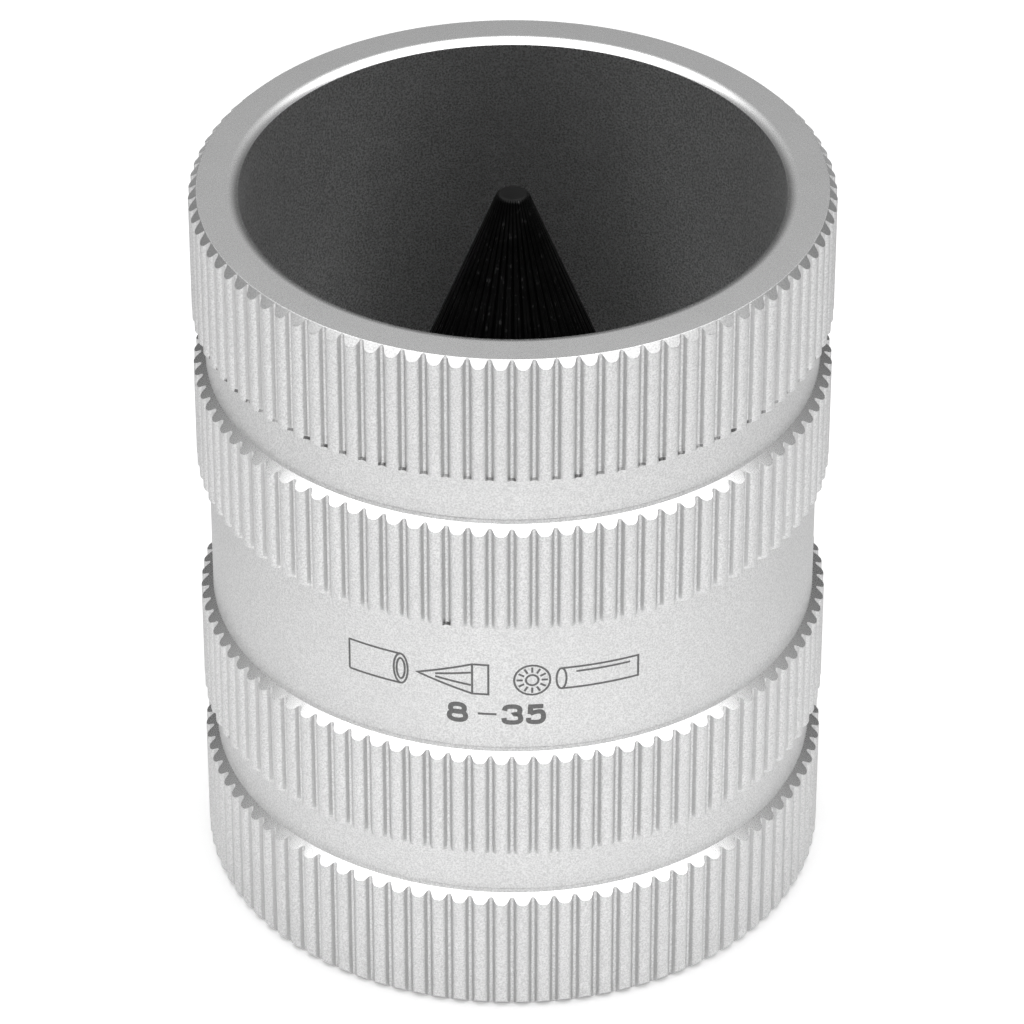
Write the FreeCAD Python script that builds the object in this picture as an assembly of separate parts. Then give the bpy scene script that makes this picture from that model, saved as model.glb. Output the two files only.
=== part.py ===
import FreeCAD, Part
import math
import os

from FreeCAD import Vector

# Hand deburring tool for the ends of tubes from 8 to 35 mm.
# A fluted barrel holds two hardened cutters, one on each side of a web across
# its inside.  The cone cutter stands in the upper bore and trims the inner edge
# of a tube.  The funnel cutter sits in the lower bore and trims the outer edge.
# Units are millimetres.  The origin is the centre of the bottom rim, the Z axis
# is the axis of the barrel, and +Z points to the end with the cone.

# ---------------------------------------------------------------- dimensions

# Barrel, outside
BARREL_HEIGHT = 64.0
BARREL_RADIUS = 26.0
GROOVE_RADIUS = 25.0
# Lengths along the axis from the top rim down: grip band, groove, grip band,
# waist, grip band, groove.  The last grip band takes what is left.
TOP_BAND = 11.05
UPPER_GROOVE = 4.65
UPPER_BAND = 9.6
WAIST = 12.8
LOWER_BAND = 9.85
LOWER_GROOVE = 4.65
BAND_CHAMFER = 0.65
BAND_SHOULDER_DROP = 0.25
RIM_CHAMFER = 0.65

# Flutes of the grip bands: V grooves with a round root, parallel to the axis
FLUTE_COUNT = 93
FLUTE_DEPTH = 0.62
FLUTE_WIDTH_SHARE = 0.55
FLUTE_FLANK_ANGLE = 27.0
FLUTE_LAND_ROUNDING = 0.55
FLUTE_PHASE = -0.14

# Barrel, inside
BORE_RADIUS = 22.0
BORE_RIM_ROUNDING = 0.9
BORE_FLOOR_ROUNDING = 0.8
WEB_TOP = 22.0
WEB_BOTTOM = 17.5
HUB_RADIUS = 8.0
HUB_TOP = 28.5
LOWER_BORE_LEAD = 0.5

# Cone cutter
CONE_TIP_DEPTH = 0.93
CONE_TIP_RADIUS = 1.26
CONE_SLOPE = 0.395
CONE_BASE_RADIUS = 17.0
CONE_EDGE_BREAK = 0.3
CONE_TIP_BREAK = 0.12
HUB_CLEARANCE = 0.05
HUB_HEADROOM = 0.3
THREAD_TOP = 46.0

# Funnel cutter
FUNNEL_BOTTOM = 2.85
FUNNEL_OUTER_RADIUS = 21.9
FUNNEL_HOLE_RADIUS = 3.45
FUNNEL_SLOPE = 1.0
FUNNEL_EDGE_BREAK = 0.2

# Teeth: one set of V grooves runs the whole length of a cutting cone, and a
# second set starts part of the way out, halfway between the first.  The grooves
# deepen outwards.  The second set starts from nothing; the depth of the first
# set would reach nothing past the axis, so it is already cut in at the small end.
TEETH_PER_SET = 40
TOOTH_FIRST_SET_RADIUS = -0.6
TOOTH_START_SHARE = 0.8
TOOTH_GROOVE_DEPTH = 0.68
TOOTH_GROOVE_HALF_WIDTH = 0.6
CONE_SECOND_SET_RADIUS = 4.0
FUNNEL_SECOND_SET_RADIUS = 8.0
TOOTH_TOOL_LIFT = 0.12

# M6 socket head screw with its spring lock washer
SCREW_RADIUS = 3.0
SCREW_CLEARANCE_RADIUS = 3.3
SCREW_LENGTH = 20.0
SCREW_HEAD_RADIUS = 5.0
SCREW_HEAD_HEIGHT = 6.0
SCREW_HEAD_CHAMFER = 0.5
SCREW_END_CHAMFER = 0.6
SOCKET_ACROSS_FLATS = 5.0
SOCKET_DEPTH = 3.0
HEAD_POCKET_RADIUS = 5.5
HEAD_RECESS = 0.15
WASHER_THICKNESS = 1.6
WASHER_INNER_RADIUS = 3.05
WASHER_OUTER_RADIUS = 4.95
WASHER_SPLIT = 0.7
WASHER_SPLIT_ANGLE = 25.0

# Drive pins through the web
PIN_RADIUS = 1.5
PIN_CIRCLE_RADIUS = 12.5
PIN_COUNT = 2
PIN_BOTTOM = 14.6
PIN_LENGTH = 10.2
PIN_CHAMFER = 0.3
PIN_HOLE_CLEARANCE = 0.05
PIN_HOLE_EXTRA_DEPTH = 0.4

# Round-wire snap ring under the funnel cutter
RING_WIRE_RADIUS = 0.9
RING_CIRCLE_RADIUS = 22.1
RING_HEIGHT = 1.9
RING_GAP_ANGLE = 30.0
RING_GROOVE_CLEARANCE = 0.05

# Extra reach of cutting tools past the surface that they cut
OVERCUT = 0.5

# ------------------------------------------------------------ derived values

PITCH_ANGLE = 2 * math.pi / FLUTE_COUNT
HEAD_BOTTOM = WEB_BOTTOM + HEAD_RECESS
HEAD_TOP = HEAD_BOTTOM + SCREW_HEAD_HEIGHT
POCKET_TOP = HEAD_TOP + WASHER_THICKNESS
PIN_TOP = PIN_BOTTOM + PIN_LENGTH
CONE_TIP_HEIGHT = BARREL_HEIGHT - CONE_TIP_DEPTH
CONE_APEX_HEIGHT = CONE_TIP_HEIGHT + CONE_TIP_RADIUS / CONE_SLOPE
CONE_SHOULDER_HEIGHT = CONE_APEX_HEIGHT - CONE_BASE_RADIUS / CONE_SLOPE
FUNNEL_MOUTH_RADIUS = FUNNEL_HOLE_RADIUS + FUNNEL_SLOPE * (WEB_BOTTOM - FUNNEL_BOTTOM)


# ------------------------------------------------------------------- helpers

def polar(radius, angle, height=0.0):
    """Point at a radius and an angle in radians about the Z axis."""
    return Vector(radius * math.cos(angle), radius * math.sin(angle), height)


def half_plane(radius, height):
    """Point of a half section, drawn in the XZ plane."""
    return Vector(radius, 0, height)


def rounded_outline(corners):
    """Closed wire through corners given as (point, rounding radius)."""
    starts, ends, arcs = [], [], []
    for index, (corner, rounding) in enumerate(corners):
        before = corners[index - 1][0]
        after = corners[(index + 1) % len(corners)][0]
        if rounding == 0:
            starts.append(corner)
            ends.append(corner)
            arcs.append(None)
            continue
        back = (before - corner).normalize()
        ahead = (after - corner).normalize()
        half_angle = back.getAngle(ahead) / 2
        trim = rounding / math.tan(half_angle)
        start = corner + back * trim
        end = corner + ahead * trim
        inward = (back + ahead).normalize()
        middle = corner + inward * (rounding / math.sin(half_angle) - rounding)
        starts.append(start)
        ends.append(end)
        arcs.append(Part.Arc(start, middle, end).toShape())
    edges = []
    for index in range(len(corners)):
        if arcs[index]:
            edges.append(arcs[index])
        edges.append(Part.makeLine(ends[index], starts[(index + 1) % len(corners)]))
    return Part.Wire(edges)


def turned(corners):
    """Solid of revolution about Z from half-section corners (radius, height[, rounding])."""
    section = [(half_plane(corner[0], corner[1]), corner[2] if len(corner) > 2 else 0)
               for corner in corners]
    face = Part.Face(rounded_outline(section))
    return face.revolve(Vector(0, 0, 0), Vector(0, 0, 1), 360)


def cylinder(radius, bottom, top, x=0.0, y=0.0):
    return Part.makeCylinder(radius, top - bottom, Vector(x, y, bottom))


def tapered_wedge(small_end, large_end):
    """Solid between two similar triangles.  The small end may be a single point."""
    triangles = [large_end]
    if len(small_end) == 3:
        triangles.append(small_end)
    sides = []
    for index in range(3):
        following = (index + 1) % 3
        if len(small_end) == 3:
            near = [small_end[following], small_end[index]]
        else:
            near = small_end
        sides.append([large_end[index], large_end[following]] + near)
    faces = [Part.Face(Part.makePolygon(points + points[:1])) for points in triangles + sides]
    solid = Part.Solid(Part.Shell(faces))
    if solid.Volume < 0:
        solid.reverse()
    return solid


def pin_places():
    angles = [2 * math.pi * index / PIN_COUNT for index in range(PIN_COUNT)]
    return [polar(PIN_CIRCLE_RADIUS, angle) for angle in angles]


def pin_holes(radius, bottom, top):
    return [cylinder(radius, bottom, top, place.x, place.y) for place in pin_places()]


def tooth_grooves(apex_height, slope, cut_side, end_radius, start_radius, start_share,
                  first_angle):
    """One ring of tapered V grooves along a cone.

    The cone's radius is slope * (apex_height - height).  cut_side is 1 when the
    material is inside the cone and -1 when it is outside.  A groove has its full
    size at end_radius and start_share of it at start_radius.
    """
    tilt = math.atan(slope)
    flare = 1 + TOOTH_TOOL_LIFT / TOOTH_GROOVE_DEPTH

    def section(radius, angle, share):
        """Triangle of the groove, or its point where the groove has no size."""
        outward = polar(1, angle)
        across = polar(1, angle + math.pi / 2)
        normal = (outward * math.cos(tilt) + Vector(0, 0, math.sin(tilt))) * cut_side
        centre = polar(radius, angle, apex_height - radius / slope)
        if share == 0:
            return [centre]
        lifted = centre + normal * (TOOTH_TOOL_LIFT * share)
        side = across * (TOOTH_GROOVE_HALF_WIDTH * flare * share)
        return [lifted + side, lifted - side, centre - normal * (TOOTH_GROOVE_DEPTH * share)]

    angles = [first_angle + 2 * math.pi * index / TEETH_PER_SET for index in range(TEETH_PER_SET)]
    return [tapered_wedge(section(start_radius, angle, start_share), section(end_radius, angle, 1))
            for angle in angles]


def teeth_of_cone(apex_height, slope, cut_side, small_radius, large_radius, second_set_radius):
    """Cutting tools for both sets of grooves of a cutting cone."""
    end = large_radius + OVERCUT
    start = small_radius * TOOTH_START_SHARE
    share = (start - TOOTH_FIRST_SET_RADIUS) / (end - TOOTH_FIRST_SET_RADIUS)
    half_step = math.pi / TEETH_PER_SET
    first_set = tooth_grooves(apex_height, slope, cut_side, end, start, share, 0)
    second_set = tooth_grooves(apex_height, slope, cut_side, end, second_set_radius, 0, half_step)
    return first_set + second_set


# ----------------------------------------------------------------- sub-parts

def fluted_prism():
    """Full-height prism with the cross-section of the grip bands."""
    half_width = FLUTE_WIDTH_SHARE * PITCH_ANGLE / 2
    mouth = BARREL_RADIUS * math.sin(half_width)
    flank = math.radians(FLUTE_FLANK_ANGLE)
    point_depth = mouth / math.tan(flank)
    root_rounding = (point_depth - FLUTE_DEPTH) / (1 / math.sin(flank) - 1)
    corners = []
    for index in range(FLUTE_COUNT):
        centre = math.radians(FLUTE_PHASE - 90) + index * PITCH_ANGLE
        corners.append((polar(BARREL_RADIUS, centre - half_width), FLUTE_LAND_ROUNDING))
        corners.append((polar(BARREL_RADIUS - point_depth, centre), root_rounding))
        corners.append((polar(BARREL_RADIUS, centre + half_width), FLUTE_LAND_ROUNDING))
    face = Part.Face(rounded_outline(corners))
    return face.extrude(Vector(0, 0, BARREL_HEIGHT))


def barrel_section():
    """Half section of the barrel, with its outside drawn just clear of the flutes."""
    outer = BARREL_RADIUS + OVERCUT
    rim = BARREL_RADIUS - RIM_CHAMFER
    rim_rise = outer - rim
    groove_depth = BARREL_RADIUS - GROOVE_RADIUS
    chamfer_rise = BAND_CHAMFER * (outer - GROOVE_RADIUS) / groove_depth
    shoulder_rise = BAND_SHOULDER_DROP * (outer - BARREL_RADIUS) / groove_depth

    corners = [(rim, 0), (outer, rim_rise)]
    # From the bottom up, each recess lies between two grip bands
    recess_tops = [
        BARREL_HEIGHT - TOP_BAND - UPPER_GROOVE - UPPER_BAND - WAIST - LOWER_BAND,
        BARREL_HEIGHT - TOP_BAND - UPPER_GROOVE - UPPER_BAND,
        BARREL_HEIGHT - TOP_BAND,
    ]
    recess_lengths = [LOWER_GROOVE, WAIST, UPPER_GROOVE]
    for recess_top, length in zip(recess_tops, recess_lengths):
        recess_bottom = recess_top - length
        corners.append((outer, recess_bottom - chamfer_rise))
        corners.append((GROOVE_RADIUS, recess_bottom))
        corners.append((GROOVE_RADIUS, recess_top - BAND_SHOULDER_DROP))
        corners.append((outer, recess_top + shoulder_rise))
    corners.append((outer, BARREL_HEIGHT - rim_rise))
    corners.append((rim, BARREL_HEIGHT))

    corners += [
        (BORE_RADIUS, BARREL_HEIGHT, BORE_RIM_ROUNDING),
        (BORE_RADIUS, WEB_TOP, BORE_FLOOR_ROUNDING),
        (HUB_RADIUS, WEB_TOP),
        (HUB_RADIUS, HUB_TOP),
        (SCREW_CLEARANCE_RADIUS, HUB_TOP),
        (SCREW_CLEARANCE_RADIUS, POCKET_TOP),
        (HEAD_POCKET_RADIUS, POCKET_TOP),
        (HEAD_POCKET_RADIUS, WEB_BOTTOM),
        (BORE_RADIUS, WEB_BOTTOM),
        (BORE_RADIUS, LOWER_BORE_LEAD),
        (BORE_RADIUS + LOWER_BORE_LEAD, 0),
    ]
    return corners


def make_barrel():
    body = turned(barrel_section()).common(fluted_prism())
    groove = Part.makeTorus(RING_CIRCLE_RADIUS, RING_WIRE_RADIUS + RING_GROOVE_CLEARANCE,
                            Vector(0, 0, RING_HEIGHT))
    holes = pin_holes(PIN_RADIUS, WEB_BOTTOM - OVERCUT, WEB_TOP + OVERCUT)
    return body.cut([groove] + holes)


def make_cone_cutter():
    """Toothed cone on a plain foot, hollow underneath to seat over the hub."""
    recess_radius = HUB_RADIUS + HUB_CLEARANCE
    recess_top = HUB_TOP + HUB_HEADROOM
    tip_break_rise = CONE_TIP_BREAK / CONE_SLOPE
    body = turned([
        (CONE_BASE_RADIUS - CONE_EDGE_BREAK, WEB_TOP),
        (CONE_BASE_RADIUS, WEB_TOP + CONE_EDGE_BREAK),
        (CONE_BASE_RADIUS, CONE_SHOULDER_HEIGHT),
        (CONE_TIP_RADIUS + CONE_TIP_BREAK, CONE_TIP_HEIGHT - tip_break_rise),
        (CONE_TIP_RADIUS - CONE_TIP_BREAK, CONE_TIP_HEIGHT),
        (0, CONE_TIP_HEIGHT),
        (0, THREAD_TOP + SCREW_RADIUS / 2),
        (SCREW_RADIUS, THREAD_TOP),
        (SCREW_RADIUS, recess_top),
        (recess_radius, recess_top),
        (recess_radius, WEB_TOP),
    ])
    teeth = teeth_of_cone(CONE_APEX_HEIGHT, CONE_SLOPE, 1, CONE_TIP_RADIUS, CONE_BASE_RADIUS,
                          CONE_SECOND_SET_RADIUS)
    holes = pin_holes(PIN_RADIUS + PIN_HOLE_CLEARANCE, WEB_TOP - OVERCUT,
                      PIN_TOP + PIN_HOLE_EXTRA_DEPTH)
    return body.cut(teeth + holes)


def make_funnel_cutter():
    """Steel ring with a toothed 90 degree funnel that opens downwards."""
    body = turned([
        (FUNNEL_MOUTH_RADIUS, FUNNEL_BOTTOM),
        (FUNNEL_OUTER_RADIUS - FUNNEL_EDGE_BREAK, FUNNEL_BOTTOM),
        (FUNNEL_OUTER_RADIUS, FUNNEL_BOTTOM + FUNNEL_EDGE_BREAK),
        (FUNNEL_OUTER_RADIUS, WEB_BOTTOM - FUNNEL_EDGE_BREAK),
        (FUNNEL_OUTER_RADIUS - FUNNEL_EDGE_BREAK, WEB_BOTTOM),
        (FUNNEL_HOLE_RADIUS, WEB_BOTTOM),
    ])
    apex_height = WEB_BOTTOM + FUNNEL_HOLE_RADIUS / FUNNEL_SLOPE
    teeth = teeth_of_cone(apex_height, FUNNEL_SLOPE, -1, FUNNEL_HOLE_RADIUS, FUNNEL_MOUTH_RADIUS,
                          FUNNEL_SECOND_SET_RADIUS)
    holes = pin_holes(PIN_RADIUS + PIN_HOLE_CLEARANCE, PIN_BOTTOM - PIN_HOLE_EXTRA_DEPTH,
                      WEB_BOTTOM + OVERCUT)
    return body.cut(teeth + holes)


def make_cone_screw():
    """M6 socket head cap screw, head down, with a plain shank for its thread."""
    end = HEAD_TOP + SCREW_LENGTH
    body = turned([
        (0, HEAD_BOTTOM),
        (SCREW_HEAD_RADIUS - SCREW_HEAD_CHAMFER, HEAD_BOTTOM),
        (SCREW_HEAD_RADIUS, HEAD_BOTTOM + SCREW_HEAD_CHAMFER),
        (SCREW_HEAD_RADIUS, HEAD_TOP),
        (SCREW_RADIUS, HEAD_TOP),
        (SCREW_RADIUS, end - SCREW_END_CHAMFER),
        (SCREW_RADIUS - SCREW_END_CHAMFER, end),
        (0, end),
    ])
    corner_radius = SOCKET_ACROSS_FLATS / 2 / math.cos(math.pi / 6)
    corners = [polar(corner_radius, math.pi / 3 * index, HEAD_BOTTOM) for index in range(6)]
    hexagon = Part.Face(Part.makePolygon(corners + corners[:1]))
    socket = hexagon.extrude(Vector(0, 0, SOCKET_DEPTH))
    drill_point = Part.makeCone(SOCKET_ACROSS_FLATS / 2, 0, SOCKET_ACROSS_FLATS / 4,
                                Vector(0, 0, HEAD_BOTTOM + SOCKET_DEPTH))
    return body.cut([socket, drill_point])


def make_lock_washer():
    """Spring washer, tightened flat, with its slanting split."""
    ring = turned([
        (WASHER_INNER_RADIUS, HEAD_TOP),
        (WASHER_OUTER_RADIUS, HEAD_TOP),
        (WASHER_OUTER_RADIUS, POCKET_TOP),
        (WASHER_INNER_RADIUS, POCKET_TOP),
    ])
    reach = WASHER_OUTER_RADIUS + OVERCUT
    height = WASHER_THICKNESS + 2 * OVERCUT
    split = Part.makeBox(reach, WASHER_SPLIT, height,
                         Vector(0, -WASHER_SPLIT / 2, -height / 2))
    split.rotate(Vector(0, 0, 0), Vector(1, 0, 0), WASHER_SPLIT_ANGLE)
    split.translate(Vector(0, 0, (HEAD_TOP + POCKET_TOP) / 2))
    return ring.cut(split)


def make_drive_pins():
    """Dowels pressed through the web, standing out into both cutters."""
    pin = turned([
        (0, PIN_BOTTOM),
        (PIN_RADIUS - PIN_CHAMFER, PIN_BOTTOM),
        (PIN_RADIUS, PIN_BOTTOM + PIN_CHAMFER),
        (PIN_RADIUS, PIN_TOP - PIN_CHAMFER),
        (PIN_RADIUS - PIN_CHAMFER, PIN_TOP),
        (0, PIN_TOP),
    ])
    return Part.makeCompound([pin.translated(place) for place in pin_places()])


def make_snap_ring():
    """Open ring of round spring wire in a groove of the lower bore."""
    circle = Part.makeCircle(RING_WIRE_RADIUS, half_plane(RING_CIRCLE_RADIUS, RING_HEIGHT),
                             Vector(0, 1, 0))
    face = Part.Face(Part.Wire(circle))
    ring = face.revolve(Vector(0, 0, 0), Vector(0, 0, 1), 360 - RING_GAP_ANGLE)
    ring.rotate(Vector(0, 0, 0), Vector(0, 0, 1), RING_GAP_ANGLE / 2)
    return ring


SUB_PARTS = {
    "barrel": make_barrel,
    "cone_cutter": make_cone_cutter,
    "funnel_cutter": make_funnel_cutter,
    "cone_screw": make_cone_screw,
    "lock_washer": make_lock_washer,
    "drive_pins": make_drive_pins,
    "snap_ring": make_snap_ring,
}

os.makedirs("parts", exist_ok=True)
for name, make in SUB_PARTS.items():
    shape = make()
    shape.exportStep("parts/" + name + ".step")
    print(name, "valid", shape.isValid(), "solids", len(shape.Solids),
          "volume", round(shape.Volume, 1))
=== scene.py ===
import math

import bpy
import numpy as np
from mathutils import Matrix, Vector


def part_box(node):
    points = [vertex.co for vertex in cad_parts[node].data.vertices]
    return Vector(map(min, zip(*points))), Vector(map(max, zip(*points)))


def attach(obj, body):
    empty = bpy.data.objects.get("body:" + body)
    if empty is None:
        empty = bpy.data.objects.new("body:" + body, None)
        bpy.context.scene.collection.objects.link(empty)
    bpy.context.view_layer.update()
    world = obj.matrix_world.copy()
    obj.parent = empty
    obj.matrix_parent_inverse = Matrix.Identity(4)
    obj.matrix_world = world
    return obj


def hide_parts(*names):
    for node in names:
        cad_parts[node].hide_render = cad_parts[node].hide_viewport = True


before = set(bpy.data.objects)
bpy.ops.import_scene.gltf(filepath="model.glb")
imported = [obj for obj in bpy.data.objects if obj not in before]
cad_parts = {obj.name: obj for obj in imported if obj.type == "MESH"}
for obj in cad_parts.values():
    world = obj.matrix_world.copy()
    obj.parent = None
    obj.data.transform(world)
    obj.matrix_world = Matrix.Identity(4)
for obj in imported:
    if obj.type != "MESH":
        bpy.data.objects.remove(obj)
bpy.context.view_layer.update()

# Sizes are in millimetres until a mesh is made, and angles in radians.
MM = 0.001
FULL_TURN = 2 * math.pi
FRONT = -math.pi / 2
TINY = 1e-9


def span(node):
    """Lowest and highest corner of a CAD node, in millimetres."""
    low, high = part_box(node)
    return low / MM, high / MM


# ------------------------------------------------------------------ the sizes

BARREL_LOW, BARREL_HIGH = span("barrel")
CONE_LOW, CONE_HIGH = span("cone_cutter")
FUNNEL_LOW, FUNNEL_HIGH = span("funnel_cutter")
WASHER_HIGH = span("lock_washer")[1]
RING_LOW, RING_HIGH = span("snap_ring")

# Outside of the barrel
TOP = BARREL_HIGH.z
GRIP_RADIUS = 26.0
GROOVE_RADIUS = 25.0
RIM_RADIUS = 25.35
CHAMFER_SLOPE = 0.65
SHOULDER_SLOPE = 0.4
TOP_BAND = 11.05
UPPER_GROOVE = 4.65
UPPER_BAND = 9.6
WAIST = 12.8
LOWER_BAND = 9.85
LOWER_GROOVE = 4.65
WAIST_TOP = TOP - TOP_BAND - UPPER_GROOVE - UPPER_BAND
LOWER_BAND_TOP = WAIST_TOP - WAIST
LOWER_BAND_BOTTOM = LOWER_BAND_TOP - LOWER_BAND
EDGE_ROUNDING = 0.05
RIM_EDGE_ROUNDING = 0.06
CORNER_ROUNDING = 0.03
LINE_ROUNDING = 0.01
INSIDE_ROUNDING = 0.15

# Flutes
FLUTES = 93
FLUTE_DEPTH = 0.62
FLUTE_WIDTH_SHARE = 0.55
FLUTE_FLANK = math.radians(30)
LAND_ROUNDING = 0.55
# Steps along the rounded edge of a land, the flute's root and the next land's edge
FLUTE_STEPS = (5, 6, 5)
FLUTE_PHASE = FRONT + math.radians(-0.14)

# Teeth of the cutters.  Two sets of V grooves deepen outwards from their start radius
# and reach their full size at the end radius.
TEETH_PER_SET = 40
TOOTH_DEPTH = 0.68
TOOTH_HALF_WIDTH = 0.6
TOOTH_ROWS = 26
# Smallest and largest half width of a groove, in shares of the space for one tooth
TOOTH_WIDTH_LIMITS = (0.1, 0.39)
CONE_STARTS = (-0.6, 4.0)
FUNNEL_STARTS = (-0.6, 8.0)
# Across one groove: offset in half widths, and depth in shares of the full depth
TOOTH_PROFILE = [(-1.25, 0), (-1.08, 0.03), (-0.9, 0.12), (-0.12, 0.9), (0.0, 0.95),
                 (0.12, 0.9), (0.9, 0.12), (1.08, 0.03), (1.25, 0)]
CREST_POINTS = (0, 1, 7, 8)

# Cone cutter
CONE_SLOPE = 0.395
CONE_RADIUS = 17.0
TIP_RADIUS = 1.26
TIP_ROUNDING = 0.45
SEAT_RADIUS = 8.05
SEAT_TOP = 28.8
THREAD_RADIUS = 3.0
THREAD_TOP = 46.0
CUTTER_EDGE = 0.3

# Funnel cutter
FUNNEL_HOLE = 3.45
FUNNEL_RADIUS = 21.9

# Broken edges of the screw, washer and pins.  Points nearer than the join distance are
# made one first, because these meshes are split along the borders of their faces.  An edge
# is broken where its two faces turn by more than the edge angle.
EDGE_BREAK = 0.05
EDGE_ANGLE = math.radians(40)
JOIN_DISTANCE = 0.001

# Snap ring
RING_GAP = math.radians(30)
RING_END_ROUNDING = 0.25
RING_COLUMNS = 221

# Fine line that the turning tool left above each chamfer: depth and height of its points
TOOL_LINE = [(0, 0.4), (0.018, 0.35), (0, 0.28)]

# Burrs that the cutter left in the flute roots at the lower end of a band, each with a painted
# shadow:
# their length, how far they stand out, and the share of flutes with one, from the top band down
BURR_LENGTH = 0.26
BURR_LIP = 0.12
BURR_SHARES = (1, 0.05, 0.03)
BURR_SEED = 714
SMALLEST_BURR = 0.5

# Markings on the waist: how far they stand out and reach in, how much prouder each stroke
# is than the one before, the longest straight part, the widths of the lines, and the
# places (along the waist from the front, height)
MARK_HEIGHT = 0.012
MARK_SINK = 0.04
MARK_RISE = 0.0005
MARK_STEP = 0.4
FIGURE_LINE = 0.42
DASH_LINE = 0.2
PICTOGRAM_LINE = 0.17
TEETH_SHOWN = 12
SIZE_PLACE = (-1.3, 29.6)
INNER_PLACE = (-7.85, 33.0)
OUTER_PLACE = (5.2, 33.0)

# Inside of the barrel
BORE_RADIUS = 22.0
RIM_BEVEL = 0.4
RIM_ROUNDING = 1.25
FLOOR_ROUNDING = 0.8
LOWER_LEAD = 0.5
HUB_RADIUS = 8.0
HUB_TOP = 28.5
CLEARANCE_RADIUS = 3.3
POCKET_RADIUS = 5.5
RING_GROOVE_CLEARANCE = 0.05

# Points around a wire or an oval
ROUND_POINTS = 24

# Light, in metres and watts; the surroundings brighten with height, and towards the back
SOFT_BOX_WIDTH = 1.13
SOFT_BOX_POWER = 5.7
SOFT_BOX_PLACE = (0, -0.05, 0.66)
SURROUND_TILT = math.radians(8)
SURROUND = [(0.3, 0.12), (0.8, 0.5)]
FLOOR_REACH = 3.0
FLOOR_SEEN = 0.93
FLOOR_GLOW = 0.1
# Painted pool of light: near the object the floor glows, in place of the light that the metal throws
# back onto it
NEAR_GLOW = 0.14
GLOW_REACH = (0.03, 0.12)
# Painted shade: the floor's colour in reflections, at its front and at its back
FLOOR_FRONT = 0.92
FLOOR_BACK_SHADE = 0.57

# Camera, from the centre of the top rim
CAMERA_DISTANCE = 495.8
CAMERA_ELEVATION = math.radians(32.28)
CAMERA_PITCH = math.radians(35.325)
CAMERA_LENS = 217.6
CAMERA_YAW = math.radians(0.009)
SENSOR_WIDTH = 36.0


# ------------------------------------------------------------- mesh functions

def rounded(corners, roundings, steps):
    """Round the corners of closed outlines, given as (outlines, corners, 2).

    Corner k becomes an arc of steps[k] + 1 points, or stays one point for no
    steps.  Two arcs are made smaller where they would meet on the line between them.
    """
    back = np.roll(corners, 1, axis=1) - corners
    ahead = np.roll(corners, -1, axis=1) - corners
    back_length = np.linalg.norm(back, axis=2, keepdims=True)
    ahead_length = np.linalg.norm(ahead, axis=2, keepdims=True)
    back = back / back_length
    ahead = ahead / ahead_length
    cosine = np.clip((back * ahead).sum(axis=2, keepdims=True), -1, 1)
    half = np.arccos(cosine) / 2
    trim = np.array(roundings)[None, :, None] / np.tan(half)
    fit = np.minimum(1, 0.96 * ahead_length / (trim + np.roll(trim, -1, axis=1) + TINY))
    trim = trim * np.minimum(fit, np.roll(fit, 1, axis=1))
    start = corners + back * trim
    end = corners + ahead * trim
    arcs = []
    for k, count in enumerate(steps):
        corner = corners[:, k:k + 1]
        if count == 0:
            arcs.append(corner)
            continue
        t = np.linspace(0, 1, count + 1)[None, :, None]
        middle_weight = 2 * np.sin(half[:, k:k + 1]) * t * (1 - t)
        total = (1 - t) ** 2 + middle_weight + t ** 2
        arc = start[:, k:k + 1] * (1 - t) ** 2 + corner * middle_weight + end[:, k:k + 1] * t ** 2
        arcs.append(arc / total)
    return np.concatenate(arcs, axis=1)


def make_piece(name, points, faces, materials):
    """Mesh piece from points in millimetres, riding on the one body."""
    mesh = bpy.data.meshes.new(name)
    mesh.from_pydata((np.asarray(points) * MM).tolist(), [], faces)
    for material in materials:
        mesh.materials.append(material)
    piece = bpy.data.objects.new(name, mesh)
    bpy.context.scene.collection.objects.link(piece)
    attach(piece, "root")
    return piece


def shade_smooth(piece, is_round=None):
    """Smooth shading that keeps the large faces flat, since each point leans to its larger faces.

    A point marked in is_round is on a surface turned about the axis, so it faces along its radius.
    """
    mesh = piece.data
    mesh.polygons.foreach_set("use_smooth", [True] * len(mesh.polygons))
    face_normal = np.array([face.normal * face.area for face in mesh.polygons])
    face_size = np.array([face.loop_total for face in mesh.polygons])
    corner_point = np.empty(len(mesh.loops), np.int32)
    mesh.loops.foreach_get("vertex_index", corner_point)
    point_normal = np.zeros((len(mesh.vertices), 3))
    np.add.at(point_normal, corner_point, np.repeat(face_normal, face_size, axis=0))
    if is_round is not None:
        place = np.empty(3 * len(mesh.vertices), np.float32)
        mesh.vertices.foreach_get("co", place)
        outward = place.reshape(-1, 3)[is_round] * (1, 1, 0)
        outward /= np.linalg.norm(outward, axis=1, keepdims=True)
        radial = (point_normal[is_round] * outward).sum(axis=1, keepdims=True)
        point_normal[is_round] = outward * radial + point_normal[is_round] * (0, 0, 1)
    point_normal /= np.linalg.norm(point_normal, axis=1, keepdims=True)
    mesh.normals_split_custom_set_from_vertices(point_normal.tolist())


def grid(points, around, closed):
    """Points and faces of a closed surface from a grid of points, (columns, rows, 3).

    around joins the last column to the first, and closed joins the last row to
    the first.  Where they are not joined, one flat face closes the end.
    """
    columns, rows = points.shape[:2]
    index = np.arange(columns * rows).reshape(columns, rows)
    beside = np.roll(index, -1, axis=0)
    above = np.roll(index, -1, axis=1)
    beside_above = np.roll(beside, -1, axis=1)
    quads = np.stack([index, above, beside_above, beside], axis=-1)
    if not around:
        quads = quads[:-1]
    if not closed:
        quads = quads[:, :-1]
    faces = quads.reshape(-1, 4).tolist()
    if not around:
        faces += [index[0, ::-1].tolist(), index[-1].tolist()]
    if not closed:
        faces += [index[:, 0].tolist(), index[::-1, -1].tolist()]
    return points.reshape(-1, 3).tolist(), faces


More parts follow.
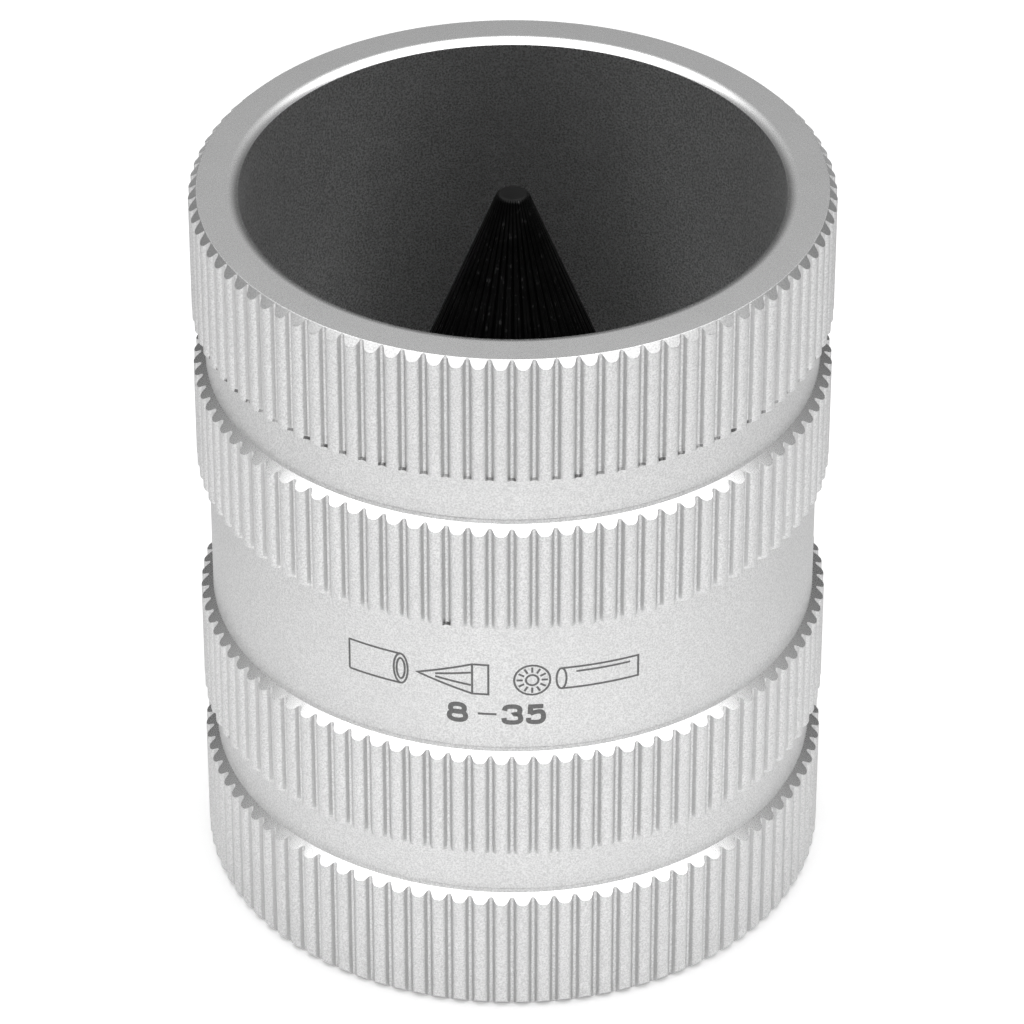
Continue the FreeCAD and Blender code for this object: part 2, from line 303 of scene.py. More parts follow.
def grid_piece(name, radius, angle, height, materials, around=True, closed=True):
    """Piece from a grid of radii, angles and heights about the axis."""
    radius, angle, height = np.broadcast_arrays(radius, angle, height)
    place = np.stack([radius * np.cos(angle), radius * np.sin(angle), height], axis=-1)
    points, faces = grid(place, around, closed)
    return make_piece(name, points, faces, materials)


def add_face_values(piece, name, values):
    attribute = piece.data.attributes.new(name, "FLOAT", "FACE")
    attribute.data.foreach_set("value", np.asarray(values, np.float32).ravel())


# ----------------------------------------------------------------- materials

class Nodes:
    """Short hand for building a node material."""

    def __init__(self, name):
        self.material = bpy.data.materials.new(name)
        self.material.use_nodes = True
        self.tree = self.material.node_tree
        self.shader = self.tree.nodes["Principled BSDF"]
        coordinates = self.tree.nodes.new("ShaderNodeTexCoord")
        self.place = coordinates.outputs["Object"]

    def link(self, value, socket):
        if isinstance(value, (int, float, tuple)):
            socket.default_value = value
        else:
            self.tree.links.new(value, socket)

    def set(self, **inputs):
        for name, value in inputs.items():
            self.link(value, self.shader.inputs[name.replace("_", " ")])

    def math(self, operation, a, b=0.0, clamp=False):
        node = self.tree.nodes.new("ShaderNodeMath")
        node.operation = operation
        node.use_clamp = clamp
        self.link(a, node.inputs[0])
        self.link(b, node.inputs[1])
        return node.outputs[0]

    def noise(self, size, detail=2.0, roughness=0.5, stretch=(1, 1, 1)):
        """Noise whose blobs are about size millimetres across."""
        scaling = self.tree.nodes.new("ShaderNodeMapping")
        scaling.inputs["Scale"].default_value = stretch
        self.link(self.place, scaling.inputs["Vector"])
        node = self.tree.nodes.new("ShaderNodeTexNoise")
        node.inputs["Scale"].default_value = 1 / (size * MM)
        node.inputs["Detail"].default_value = detail
        node.inputs["Roughness"].default_value = roughness
        self.link(scaling.outputs[0], node.inputs["Vector"])
        return node.outputs["Fac"]

    def remap(self, value, low, high, to_low, to_high):
        node = self.tree.nodes.new("ShaderNodeMapRange")
        self.link(value, node.inputs["Value"])
        node.inputs["From Min"].default_value = low
        node.inputs["From Max"].default_value = high
        node.inputs["To Min"].default_value = to_low
        node.inputs["To Max"].default_value = to_high
        return node.outputs["Result"]

    def face_value(self, name):
        node = self.tree.nodes.new("ShaderNodeAttribute")
        node.attribute_name = name
        return node.outputs["Fac"]

    def mix(self, share, a, b):
        node = self.tree.nodes.new("ShaderNodeMix")
        node.data_type = "RGBA"
        self.link(share, node.inputs["Factor"])
        self.link(a, node.inputs["A"])
        self.link(b, node.inputs["B"])
        return node.outputs["Result"]

    def bump(self, height, depth, strength=1.0):
        """Bump of a height from 0 to 1, depth millimetres deep."""
        node = self.tree.nodes.new("ShaderNodeBump")
        node.inputs["Strength"].default_value = strength
        node.inputs["Distance"].default_value = depth * MM
        self.link(height, node.inputs["Height"])
        return node.outputs["Normal"]


def grey(value, warmth=0.0):
    return (value * (1 + warmth), value, value * (1 - warmth), 1.0)


def blasted_aluminium():
    """Clear anodised aluminium with the fine grain of bead blasting, painted shade on the flute
    flanks of the bands and a painted shadow under each burr.
    """
    nodes = Nodes("blasted_aluminium")
    grain = nodes.noise(0.14, detail=2, roughness=0.7)
    cloud = nodes.noise(5.0, detail=3)
    base = nodes.mix(nodes.remap(cloud, 0.35, 0.65, 0, 1), grey(0.85), grey(0.89))
    base = nodes.mix(nodes.remap(grain, 0.38, 0.62, 0, 1), base, grey(0.67))
    # Painted shadow under each burr: its faces are darkened, unevenly
    burr = nodes.math("MULTIPLY", nodes.face_value("burr"),
                      nodes.remap(nodes.noise(0.35), 0.35, 0.55, 0.35, 1))
    # Painted shade: the flute flanks of the bands are darkened
    base = nodes.mix(nodes.math("MULTIPLY", nodes.face_value("flank_shade"), 0.6), base, grey(0.57))
    base = nodes.mix(nodes.face_value("edge"), base, grey(0.86))
    base = nodes.mix(burr, base, grey(0.13))
    nodes.set(Metallic=1.0, Base_Color=base,
              Roughness=nodes.remap(grain, 0.3, 0.7, 0.36, 0.46),
              Normal=nodes.bump(grain, 0.012, 0.6))
    return nodes.material


def turned_edge():
    """Bright turned aluminium of the rim and the chamfers."""
    nodes = Nodes("turned_edge")
    grain = nodes.noise(0.12, detail=2)
    cloud = nodes.noise(4.0, detail=2)
    base = nodes.mix(nodes.remap(cloud, 0.35, 0.65, 0, 1), grey(0.81), grey(0.85))
    base = nodes.mix(nodes.remap(grain, 0.38, 0.62, 0, 1), base, grey(0.77))
    nodes.set(Metallic=1.0, Base_Color=base,
              Roughness=nodes.remap(grain, 0.3, 0.7, 0.25, 0.31),
              Normal=nodes.bump(grain, 0.0005, 0.4))
    return nodes.material


def turned_bore():
    """Turned inside of the barrel, with a coarse grain."""
    nodes = Nodes("turned_bore")
    grain = nodes.noise(0.15, detail=2, roughness=0.7)
    cloud = nodes.noise(3.0, detail=2)
    base = nodes.mix(nodes.remap(cloud, 0.35, 0.65, 0, 1), grey(0.93), grey(0.97))
    base = nodes.mix(nodes.remap(grain, 0.4, 0.6, 0, 1), base, grey(0.47))
    nodes.set(Metallic=1.0, Base_Color=base,
              Roughness=nodes.remap(grain, 0.3, 0.7, 0.38, 0.5),
              Normal=nodes.bump(grain, 0.02, 0.8))
    return nodes.material


def black_oxide():
    """Hardened steel with black oxide, worn bright in places along the crests of the teeth."""
    nodes = Nodes("black_oxide")
    grain = nodes.noise(0.15, detail=3)
    cloud = nodes.noise(2.5, detail=3)
    base = nodes.mix(nodes.remap(cloud, 0.35, 0.65, 0, 1), grey(0.007), grey(0.014))
    worn = nodes.remap(nodes.noise(0.5, detail=2), 0.62, 0.72, 0.0, 0.8)
    base = nodes.mix(nodes.math("MULTIPLY", nodes.face_value("edge"), worn), base, grey(0.1))
    nodes.set(Metallic=0.9, Base_Color=base,
              Roughness=nodes.remap(grain, 0.3, 0.7, 0.28, 0.42),
              Normal=nodes.bump(grain, 0.01, 0.4))
    return nodes.material


def spring_steel():
    nodes = Nodes("spring_steel")
    drawn = nodes.noise(0.2, detail=2)
    nodes.set(Metallic=1.0, Base_Color=nodes.mix(drawn, grey(0.36), grey(0.46)),
              Roughness=nodes.remap(drawn, 0.3, 0.7, 0.25, 0.4))
    return nodes.material


def ground_steel():
    nodes = Nodes("ground_steel")
    ground = nodes.noise(0.1, detail=2, stretch=(1, 1, 6))
    nodes.set(Metallic=1.0, Base_Color=nodes.mix(ground, grey(0.45), grey(0.55)),
              Roughness=nodes.remap(ground, 0.3, 0.7, 0.2, 0.3))
    return nodes.material


def oiled_screw_steel():
    nodes = Nodes("oiled_screw_steel")
    grain = nodes.noise(0.3, detail=3)
    nodes.set(Metallic=0.9, Base_Color=nodes.mix(grain, grey(0.03), grey(0.06)),
              Roughness=nodes.remap(grain, 0.3, 0.7, 0.22, 0.38))
    return nodes.material


def laser_mark():
    """Dull grey of a laser mark on the anodised waist."""
    nodes = Nodes("laser_mark")
    grain = nodes.noise(0.15, detail=2)
    base = nodes.mix(nodes.remap(grain, 0.35, 0.65, 0, 1), grey(0.16), grey(0.23))
    nodes.set(Metallic=1.0, Base_Color=base, Roughness=nodes.remap(grain, 0.3, 0.7, 0.45, 0.55))
    return nodes.material


# -------------------------------------------------------------------- barrel

# Materials of the barrel, in the order of its slots
BLASTED = 0
BORE = 1
TURNED = 2

# The flats between two corners of these kinds are turned bright
TURNED_FLATS = [("corner", "edge"), ("rim", "rim_edge")]
# The flat of the last band, which has no recess below it
LAST_BAND = ("edge", "rim_edge")


def flute_outline():
    """Cross-section of the grip: radius and angle of each column, where roots are, and the flank
    columns that get painted shade.

    The root counts a little of both flanks, as wide as a burr lies across it.
    """
    half_width = FLUTE_WIDTH_SHARE * FULL_TURN / FLUTES / 2
    mouth = GRIP_RADIUS * math.sin(half_width)
    point_depth = mouth / math.tan(FLUTE_FLANK)
    root_rounding = (point_depth - FLUTE_DEPTH) / (1 / math.sin(FLUTE_FLANK) - 1)
    corners = []
    for index in range(FLUTES):
        centre = FLUTE_PHASE + index * FULL_TURN / FLUTES
        for radius, angle in [
            (GRIP_RADIUS, centre - half_width),
            (GRIP_RADIUS - point_depth, centre),
            (GRIP_RADIUS, centre + half_width),
        ]:
            corners.append((radius * math.cos(angle), radius * math.sin(angle)))
    outline = rounded(np.array([corners]), [LAND_ROUNDING, root_rounding, LAND_ROUNDING] * FLUTES,
                      FLUTE_STEPS * FLUTES)[0]
    radius = np.hypot(outline[:, 0], outline[:, 1])
    angle = np.arctan2(outline[:, 1], outline[:, 0])
    in_root = [False] * 5 + [True] * 8 + [False] * 6
    # Flank columns beside the root, which get painted shade on the bands
    flank_shade_columns = [False] * 5 + [True] * 2 + [False] * 4 + [True] * 2 + [False] * 6
    return radius, angle, np.array(in_root * FLUTES), np.array(flank_shade_columns * FLUTES)


def barrel_outline(flute_radius, burrs):
    """Half section of the barrel at columns of the given flute radii, from the top rim down.

    burrs gives the size of the burr at each column's lower end, for each recess.
    Returns the corners, and for each corner its rounding, its arc steps and its kind.
    """
    corners = []

    def add(radius, height, rounding=INSIDE_ROUNDING, steps=1, kind="inside"):
        radii = np.broadcast_to(radius, flute_radius.shape)
        heights = np.broadcast_to(height, flute_radius.shape)
        corners.append((np.stack([radii, heights], axis=-1), rounding, steps, kind))

    rim_drop = flute_radius - RIM_RADIUS
    chamfer_drop = (flute_radius - GROOVE_RADIUS) * CHAMFER_SLOPE
    end_drop = (GRIP_RADIUS - flute_radius) * SHOULDER_SLOPE
    shoulder_drop = (GRIP_RADIUS - GROOVE_RADIUS) * SHOULDER_SLOPE
    add(RIM_RADIUS, TOP, RIM_EDGE_ROUNDING, 2, "rim_edge")
    add(flute_radius, TOP - rim_drop, RIM_EDGE_ROUNDING, 2, "rim_edge")
    recesses = [
        (TOP - TOP_BAND, UPPER_GROOVE),
        (WAIST_TOP, WAIST),
        (LOWER_BAND_BOTTOM, LOWER_GROOVE),
    ]
    for number, (recess_top, length) in enumerate(recesses):
        recess_bottom = recess_top - length
        band_end = recess_top - end_drop
        add(flute_radius, band_end + BURR_LENGTH, 0, 0, ("burr", number))
        add(flute_radius + BURR_LIP * burrs[number], band_end, EDGE_ROUNDING, 2, "band_end")
        add(GROOVE_RADIUS, recess_top - shoulder_drop, CORNER_ROUNDING, 1, "corner")
        for depth, rise in TOOL_LINE:
            add(GROOVE_RADIUS - depth, recess_bottom + rise, LINE_ROUNDING, 1)
        add(GROOVE_RADIUS, recess_bottom, CORNER_ROUNDING, 1, "corner")
        add(flute_radius, recess_bottom - chamfer_drop, EDGE_ROUNDING, 2, "edge")
    add(flute_radius, BARREL_LOW.z + rim_drop, RIM_EDGE_ROUNDING, 2, "rim_edge")
    add(RIM_RADIUS, BARREL_LOW.z, RIM_EDGE_ROUNDING, 2, "rim_edge")

    # The ring's gap faces +X, so its full radius is only reached along Y
    ring_groove_radius = RING_HIGH.y + RING_GROOVE_CLEARANCE
    ring_groove_rounding = (RING_HIGH.z - RING_LOW.z) / 2
    add(BORE_RADIUS + LOWER_LEAD, BARREL_LOW.z)
    add(BORE_RADIUS, LOWER_LEAD)
    add(BORE_RADIUS, RING_LOW.z - RING_GROOVE_CLEARANCE)
    add(ring_groove_radius, RING_LOW.z - RING_GROOVE_CLEARANCE, ring_groove_rounding, 5)
    add(ring_groove_radius, RING_HIGH.z + RING_GROOVE_CLEARANCE, ring_groove_rounding, 5)
    add(BORE_RADIUS, RING_HIGH.z + RING_GROOVE_CLEARANCE)
    add(BORE_RADIUS, FUNNEL_HIGH.z)
    add(POCKET_RADIUS, FUNNEL_HIGH.z)
    add(POCKET_RADIUS, WASHER_HIGH.z)
    add(CLEARANCE_RADIUS, WASHER_HIGH.z)
    add(CLEARANCE_RADIUS, HUB_TOP)
    add(HUB_RADIUS, HUB_TOP)
    add(HUB_RADIUS, CONE_LOW.z)
    add(BORE_RADIUS, CONE_LOW.z, FLOOR_ROUNDING, 6, "bore")
    add(BORE_RADIUS, TOP - RIM_BEVEL, EDGE_ROUNDING, 2, "bore")
    add(BORE_RADIUS + RIM_BEVEL, TOP, RIM_ROUNDING, 8, "rim")
    points, roundings, steps, kinds = zip(*corners)
    return np.stack(points, axis=1), roundings, steps, kinds


def root_burrs(in_root):
    """Random burr size of every column, 0 for none, at the lower end of the upper three bands."""
    chance = np.random.default_rng(BURR_SEED)
    burrs = []
    for share in BURR_SHARES:
        size = chance.uniform(SMALLEST_BURR, 1, FLUTES) * (chance.uniform(0, 1, FLUTES) < share)
        burrs.append(np.repeat(size, len(in_root) // FLUTES) * in_root)
    return burrs


def barrel():
    """The fluted barrel as one closed grid: columns around the axis, rows along its section."""
    flute_radius, angle, in_root, flank_shade_columns = flute_outline()
    burrs = root_burrs(in_root)
    corners, roundings, steps, kinds = barrel_outline(flute_radius, burrs)
    section = rounded(corners, roundings, steps)
    columns, rows = section.shape[:2]
    piece = grid_piece("barrel_body", section[..., 0], angle[:, None], section[..., 1],
                       [blasted_aluminium(), turned_bore(), turned_edge()])

    # A row of faces belongs to an arc, or to the flat between two corners
    row_edge = []
    row_material = []
    row_burr_shadow = []
    row_band = []
    for corner, (count, kind) in enumerate(zip(steps, kinds)):
        next_kind = kinds[(corner + 1) % len(kinds)]
        is_edge = kind in ("edge", "band_end")
        row_band += [False] * count + [next_kind[0] == "burr" or (kind, next_kind) == LAST_BAND]
        row_edge += [is_edge] * count + [False]
        row_burr_shadow += [None] * count + [burrs[kind[1]] if kind[0] == "burr" else None]
        arc_material = {"bore": BORE, "rim": TURNED}.get(kind, BLASTED)
        flat_material = BORE if next_kind == "bore" else BLASTED
        if (kind, next_kind) in TURNED_FLATS:
            flat_material = TURNED
        row_material += [arc_material] * count + [flat_material]
    # Painted shadow under the burrs, on two rows of faces at each burr
    burr_shadow_values = np.zeros((columns, rows))
    for row, burr in enumerate(row_burr_shadow):
        if burr is not None:
            burr_shadow_values[:, row] = burr
            burr_shadow_values[:, row + 1] = burr
    add_face_values(piece, "edge", np.tile(row_edge, (columns, 1)))
    # Painted shade on the flute flanks of the bands
    add_face_values(piece, "flank_shade", np.outer(flank_shade_columns, row_band))
    add_face_values(piece, "burr", burr_shadow_values)
    material_index = np.tile(np.array(row_material, np.int32), columns)
    piece.data.polygons.foreach_set("material_index", material_index.tolist())
    turned_row = np.ptp(section[..., 0], axis=0) < 1e-6
    shade_smooth(piece, np.tile(turned_row, columns))
    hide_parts("barrel")


# ------------------------------------------------------------------- markings

def subdivided(path, closed):
    """Path with extra points, so that no part of it is longer than the marking's step."""
    following = np.roll(path, -1, axis=0) if closed else path[1:]
    points = []
    for start, end in zip(path, following):
        count = math.ceil(np.hypot(*(end - start)) / MARK_STEP)
        points += [start + (end - start) * index / count for index in range(count)]
    if not closed:
        points.append(path[-1])
    return np.array(points)


def smoothed(path, closed):
    """Path with its corners cut three times, which leaves a smooth curve."""
    path = np.array(path, float)
    for _ in range(3):
        following = np.roll(path, -1, axis=0) if closed else path[1:]
        start = path if closed else path[:-1]
        cut = np.stack([0.75 * start + 0.25 * following, 0.25 * start + 0.75 * following], axis=1)
        cut = cut.reshape(-1, 2)
        path = cut if closed else np.concatenate([path[:1], cut, path[-1:]])
    return path


def ribbon(path, width, closed, outer_radius):
    """Thin closed strip along a path on the waist, as points and faces."""
    path = subdivided(path, closed)
    ahead = np.roll(path, -1, axis=0) - path
    if not closed:
        ahead[-1] = ahead[-2]
    ahead /= np.linalg.norm(ahead, axis=1, keepdims=True)
    back = np.roll(ahead, 1, axis=0)
    if not closed:
        back[0] = ahead[0]
    middle = ahead + back
    middle /= np.linalg.norm(middle, axis=1, keepdims=True)
    stretch = 1 / np.maximum((middle * ahead).sum(axis=1, keepdims=True), 0.5)
    side = np.stack([-middle[:, 1], middle[:, 0]], axis=1) * stretch * width / 2
    left = path + side
    right = path - side
    inner_radius = GROOVE_RADIUS - MARK_SINK
    corners = []
    for edge, radius in [(right, outer_radius), (right, inner_radius),
                         (left, inner_radius), (left, outer_radius)]:
        angle = FRONT + edge[:, 0] / GROOVE_RADIUS
        corners.append(np.stack([radius * np.cos(angle), radius * np.sin(angle), edge[:, 1]],
                                axis=1))
    return grid(np.stack(corners, axis=1), closed, True)


def marking(name, strokes, width, place):
    """Piece from strokes drawn about a place (along the waist, height)."""
    points = []
    faces = []
    for number, (stroke, closed) in enumerate(strokes):
        # No two tops coincide, because each stroke is a hair prouder than the one before
        outer_radius = GROOVE_RADIUS + MARK_HEIGHT + MARK_RISE * number
        path = np.array(stroke, float) + place
        stroke_points, stroke_faces = ribbon(path, width, closed, outer_radius)
        faces += [[index + len(points) for index in face] for face in stroke_faces]
        points += stroke_points
    make_piece(name, points, faces, [laser_mark()])


def oval(centre, half_width, half_height):
    turn = np.linspace(0, FULL_TURN, ROUND_POINTS, endpoint=False)
    return np.stack([centre + half_width * np.cos(turn), half_height * np.sin(turn)], axis=1)


def shifted(stroke, distance):
    return np.array(stroke, float) + (distance, 0)


def size_marking():
    """The range of tube diameters, 8 to 35 mm, in heavy figures."""
    eight_top = smoothed([(-0.56, 0), (-0.56, 0.77), (0.56, 0.77), (0.56, 0)], True)
    eight_bottom = smoothed([(-0.66, -0.8), (-0.66, 0.06), (0.66, 0.06), (0.66, -0.8)], True)
    three = smoothed([(-0.62, 0.38), (-0.5, 0.8), (0.62, 0.8), (0.62, 0.06), (0.1, 0.03),
                      (0.66, 0), (0.7, -0.8), (-0.6, -0.8), (-0.66, -0.36)], False)
    five_top = [(0.6, 0.77), (-0.42, 0.77), (-0.46, 0.02)]
    five_bowl = smoothed([(-0.46, 0.02), (-0.2, 0.2), (0.6, 0.3), (0.62, -0.8), (-0.56, -0.8),
                          (-0.6, -0.36)], False)
    dash = [(-0.75, 0), (0.75, 0)]
    strokes = [
        (shifted(eight_top, -3.15), True), (shifted(eight_bottom, -3.15), True),
        (shifted(three, 1.25), False),
        (shifted(five_top, 3.15), False), (shifted(five_bowl, 3.15), False),
    ]
    marking("size_figures", strokes, FIGURE_LINE, SIZE_PLACE)
    marking("size_dash", [(shifted(dash, -0.75), False)], DASH_LINE, SIZE_PLACE)


def use_markings():
    """Pictograms of both ends: the cone for a tube's inner edge, the funnel for its outer edge."""
    inner = [
        (smoothed([(-5.9, 1.45), (-5.9, -1.45)], False), False),
        ([(-5.9, 1.45), (-1.3, 1.45)], False),
        ([(-5.9, -1.45), (-1.3, -1.45)], False),
        (oval(-1.3, 0.6, 1.45), True),
        (oval(-1.3, 0.35, 1.0), True),
        ([(0.1, 0), (4.6, 1.45), (5.9, 1.45), (5.9, -1.45), (4.6, -1.45)], True),
        ([(4.6, 1.38), (4.6, -1.38)], False),
        ([(1.6, 0.14), (4.5, 0.62)], False),
        ([(1.6, -0.14), (4.5, -0.62)], False),
    ]
    outer = [
        (oval(-3.65, 1.45, 1.45), True),
        (oval(-3.65, 0.5, 0.5), True),
        (oval(-1.3, 0.4, 1.0), True),
        ([(-1.3, 1.0), (5.1, 1.0), (5.1, -1.0), (-1.3, -1.0)], False),
        ([(-0.1, 0.55), (4.4, 0.55)], False),
    ]
    for tooth in range(TEETH_SHOWN):
        turn = FULL_TURN * tooth / TEETH_SHOWN
        outward = np.array([math.cos(turn), math.sin(turn)])
        outer.append(([outward * 0.75 - (3.65, 0), outward * 1.25 - (3.65, 0)], False))
    marking("inner_edge_pictogram", inner, PICTOGRAM_LINE, INNER_PLACE)
    marking("outer_edge_pictogram", outer, PICTOGRAM_LINE, OUTER_PLACE)


# ------------------------------------------------------------------- cutters

def tooth_columns(cone_radius, end_radius, starts):
    """Angle and groove depth of every column of a toothed cone, at each cone radius."""
    across, share = np.array(TOOTH_PROFILE).T
    pitch = FULL_TURN / (len(starts) * TEETH_PER_SET)
    growth = [np.clip((cone_radius - start) / (end_radius - start), 0, 1) for start in starts]
    narrowest, widest = TOOTH_WIDTH_LIMITS
    angles = []
    depths = []
    for tooth in range(len(starts) * TEETH_PER_SET):
        size = growth[tooth % len(starts)]
        half_width = np.maximum(size * TOOTH_HALF_WIDTH / cone_radius, narrowest * pitch)
        half_width = np.minimum(half_width, widest * pitch)
        angles.append(tooth * pitch + across[:, None] * half_width)
        depths.append(share[:, None] * size * TOOTH_DEPTH)
    return np.concatenate(angles), np.concatenate(depths)


def toothed_piece(name, corners, toothed_corner, end_radius, starts, cut_direction, closed,
                  material):
    """Turned cutter with tooth grooves along one side of its outline.

    corners gives radius, height and rounding.  The toothed side follows
    toothed_corner, and its grooves are cut along cut_direction in the section.
    """
    outline = np.array(corners)
    steps = [3 if rounding else 0 for rounding in outline[:, 2]]
    section = rounded(outline[None, :, :2], outline[:, 2], steps)[0]
    before = steps[toothed_corner]
    after = steps[toothed_corner + 1]
    first = sum(steps[:toothed_corner + 1]) + toothed_corner
    end = first + TOOTH_ROWS
    share = np.linspace(0, 1, TOOTH_ROWS)[:, None]
    along = section[first] + (section[first + 1] - section[first]) * share
    section = np.concatenate([section[:first], along, section[first + 2:]])
    # The grooves run out over the rounded edges beside the toothed side
    toothed = np.zeros(len(section))
    toothed[first - before:first] = np.linspace(0, 1, before + 1)[:-1]
    toothed[first:end] = 1
    toothed[end:end + after] = np.linspace(1, 0, after + 1)[1:]
    angle, depth = tooth_columns(np.maximum(section[:, 0], TIP_RADIUS), end_radius, starts)
    depth = depth * toothed
    radius = section[:, 0] + depth * cut_direction[0]
    height = np.minimum(section[:, 1] + depth * cut_direction[1], section[:, 1].max())
    piece = grid_piece(name, radius, angle, height, [material], closed=closed)
    is_crest = np.isin(np.arange(len(angle)) % len(TOOTH_PROFILE), CREST_POINTS)
    crest = np.outer(is_crest, toothed[:len(section) - (not closed)] > 0).ravel()
    caps = np.zeros(len(piece.data.polygons) - crest.size)
    add_face_values(piece, "edge", np.concatenate([crest, caps]))
    shade_smooth(piece)
    return piece


def cone_cutter(material):
    """Toothed cone on a plain foot, hollow underneath to seat over the hub."""
    tip = CONE_HIGH.z
    shoulder = tip - (CONE_RADIUS - TIP_RADIUS) / CONE_SLOPE
    tilt = math.atan(CONE_SLOPE)
    corners = [
        (TIP_RADIUS / 3, tip, 0),
        (TIP_RADIUS, tip, TIP_ROUNDING),
        (CONE_RADIUS, shoulder, CUTTER_EDGE),
        (CONE_RADIUS, CONE_LOW.z, CUTTER_EDGE),
        (SEAT_RADIUS, CONE_LOW.z, 0),
        (SEAT_RADIUS, SEAT_TOP, 0),
        (THREAD_RADIUS, SEAT_TOP, 0),
        (THREAD_RADIUS, THREAD_TOP, 0),
    ]
    piece = toothed_piece("cone_body", corners, 1, CONE_RADIUS, CONE_STARTS,
                          (-math.cos(tilt), -math.sin(tilt)), False, material)
    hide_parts("cone_cutter")


def funnel_cutter(material):
    """Steel ring with a toothed 90 degree funnel that opens downwards."""
    top = FUNNEL_HIGH.z
    bottom = FUNNEL_LOW.z
    mouth = FUNNEL_HOLE + top - bottom
    corners = [
        (FUNNEL_RADIUS, bottom, CUTTER_EDGE),
        (mouth, bottom, CUTTER_EDGE),
        (FUNNEL_HOLE, top, 0),
        (FUNNEL_RADIUS, top, CUTTER_EDGE),
    ]
    piece = toothed_piece("funnel_body", corners, 1, mouth, FUNNEL_STARTS,
                          (math.sqrt(0.5), math.sqrt(0.5)), True, material)
    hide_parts("funnel_cutter")


def snap_ring(material):
    """Open ring of round spring wire with softly rounded ends."""
    wire = (RING_HIGH.z - RING_LOW.z) / 2
    circle = RING_HIGH.y - wire
    middle = (RING_HIGH.z + RING_LOW.z) / 2
    angle = np.linspace(RING_GAP / 2, FULL_TURN - RING_GAP / 2, RING_COLUMNS)
    from_end = np.minimum(angle - angle[0], angle[-1] - angle) * circle
    end_size = np.sqrt(np.clip(1 - (1 - np.clip(from_end / RING_END_ROUNDING, 0, 1)) ** 2, 0, 1))
    size = wire - RING_END_ROUNDING * (1 - end_size)
    around_wire = -np.linspace(0, FULL_TURN, ROUND_POINTS, endpoint=False)
    radius = circle + size[:, None] * np.cos(around_wire)
    height = middle + size[:, None] * np.sin(around_wire)
    piece = grid_piece("ring_wire", radius, angle[:, None], height, [material],
                       around=False)
    shade_smooth(piece)
    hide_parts("snap_ring")


# --------------------------------------------------------------------- stage

def floor():
    """Pale floor; in the metal its sides and its back look a little dimmer, from painted shade in the
    colour it shows to reflections, and around the object it has a painted pool of light.
    """
    nodes = Nodes("pale_floor")
    direction = nodes.tree.nodes.new("ShaderNodeVectorMath")
    direction.operation = "NORMALIZE"
    nodes.link(nodes.place, direction.inputs[0])
    split = nodes.tree.nodes.new("ShaderNodeSeparateXYZ")
    nodes.link(direction.outputs[0], split.inputs[0])
    # Painted shade: in reflections the floor darkens from its front to its back
    shaded_reflection_colour = nodes.mix(nodes.remap(split.outputs["Y"], -1.0, 0.5, 0, 1),
                          grey(FLOOR_FRONT), grey(FLOOR_BACK_SHADE))
    distance = nodes.tree.nodes.new("ShaderNodeVectorMath")
    distance.operation = "LENGTH"
    nodes.link(nodes.place, distance.inputs[0])
    # Painted pool of light on the floor around the object
    near_light_pool = nodes.remap(distance.outputs["Value"], *GLOW_REACH, NEAR_GLOW, 0)
    seen = nodes.tree.nodes.new("ShaderNodeLightPath").outputs["Is Camera Ray"]
    nodes.set(Base_Color=nodes.mix(seen, shaded_reflection_colour, grey(FLOOR_SEEN)), Roughness=0.9,
              Emission_Color=grey(1.0),
              Emission_Strength=nodes.math("ADD", nodes.math("MULTIPLY", seen, FLOOR_GLOW), near_light_pool))
    nodes.shader.inputs["Specular IOR Level"].default_value = 0.1
    mesh = bpy.data.meshes.new("floor")
    corners = [(x * FLOOR_REACH, y * FLOOR_REACH, 0) for x, y in [(-1, -1), (1, -1), (1, 1), (-1, 1)]]
    mesh.from_pydata(corners, [], [(0, 1, 2, 3)])
    mesh.materials.append(nodes.material)
    plane = bpy.data.objects.new("floor", mesh)
    bpy.context.scene.collection.objects.link(plane)


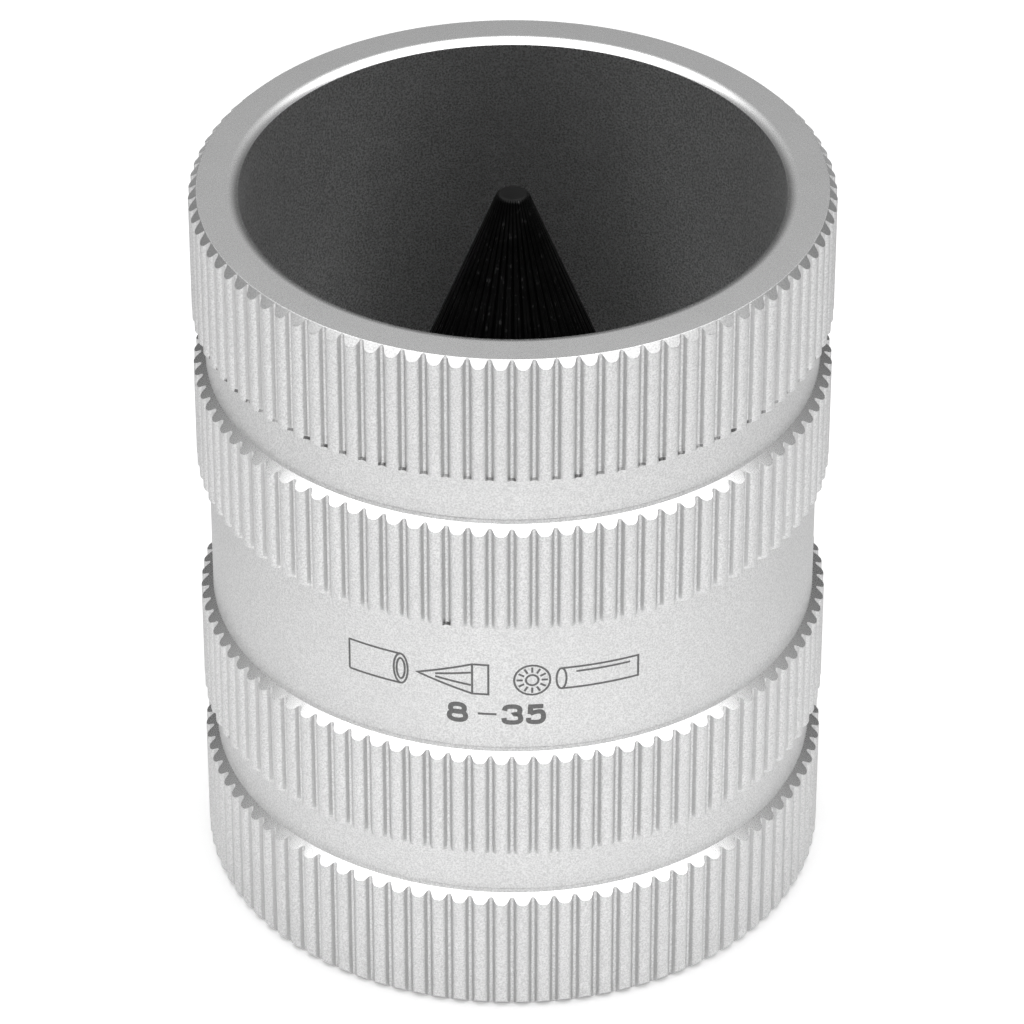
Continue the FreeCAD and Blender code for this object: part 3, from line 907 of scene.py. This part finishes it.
def studio_light():
    """A wide round soft box overhead, in surroundings that stay dim below its edge."""
    light = bpy.data.lights.new("soft_box", "AREA")
    light.shape = "DISK"
    light.size = SOFT_BOX_WIDTH
    light.energy = SOFT_BOX_POWER
    lamp = bpy.data.objects.new("soft_box", light)
    lamp.location = SOFT_BOX_PLACE
    bpy.context.scene.collection.objects.link(lamp)

    world = bpy.data.worlds.new("surround")
    world.use_nodes = True
    tree = world.node_tree
    coordinates = tree.nodes.new("ShaderNodeTexCoord")
    height = tree.nodes.new("ShaderNodeVectorMath")
    height.operation = "DOT_PRODUCT"
    height.inputs[1].default_value = (0, math.sin(SURROUND_TILT), math.cos(SURROUND_TILT))
    ramp = tree.nodes.new("ShaderNodeValToRGB")
    tree.links.new(coordinates.outputs["Generated"], height.inputs[0])
    tree.links.new(height.outputs["Value"], ramp.inputs["Fac"])
    tree.links.new(ramp.outputs["Color"], tree.nodes["Background"].inputs["Color"])
    for element, (position, brightness) in zip(ramp.color_ramp.elements, SURROUND):
        element.position = position
        element.color = grey(brightness)
    bpy.context.scene.world = world


def camera():
    lens = bpy.data.cameras.new("camera")
    lens.sensor_width = SENSOR_WIDTH
    lens.lens = CAMERA_LENS
    lens.clip_start = 0.01
    view = bpy.data.objects.new("camera", lens)
    away = CAMERA_DISTANCE * math.cos(CAMERA_ELEVATION)
    height = TOP + CAMERA_DISTANCE * math.sin(CAMERA_ELEVATION)
    view.location = (0, -away * MM, height * MM)
    view.rotation_euler = (math.pi / 2 - CAMERA_PITCH, 0, CAMERA_YAW)
    bpy.context.scene.collection.objects.link(view)
    bpy.context.scene.camera = view


def dress(node, material):
    """Give a CAD node its material, and break its edges once its split faces are joined."""
    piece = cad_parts[node]
    piece.data.materials.clear()
    piece.data.materials.append(material)
    weld = piece.modifiers.new("joined_faces", "WELD")
    weld.merge_threshold = JOIN_DISTANCE * MM
    bevel = piece.modifiers.new("broken_edges", "BEVEL")
    bevel.width = EDGE_BREAK * MM
    bevel.segments = 2
    bevel.angle_limit = EDGE_ANGLE


oxide = black_oxide()
spring = spring_steel()
barrel()
size_marking()
use_markings()
cone_cutter(oxide)
funnel_cutter(oxide)
snap_ring(spring)
dress("cone_screw", oiled_screw_steel())
dress("lock_washer", spring)
dress("drive_pins", ground_steel())
floor()
studio_light()
camera()
bpy.context.scene.view_settings.view_transform = "Standard"
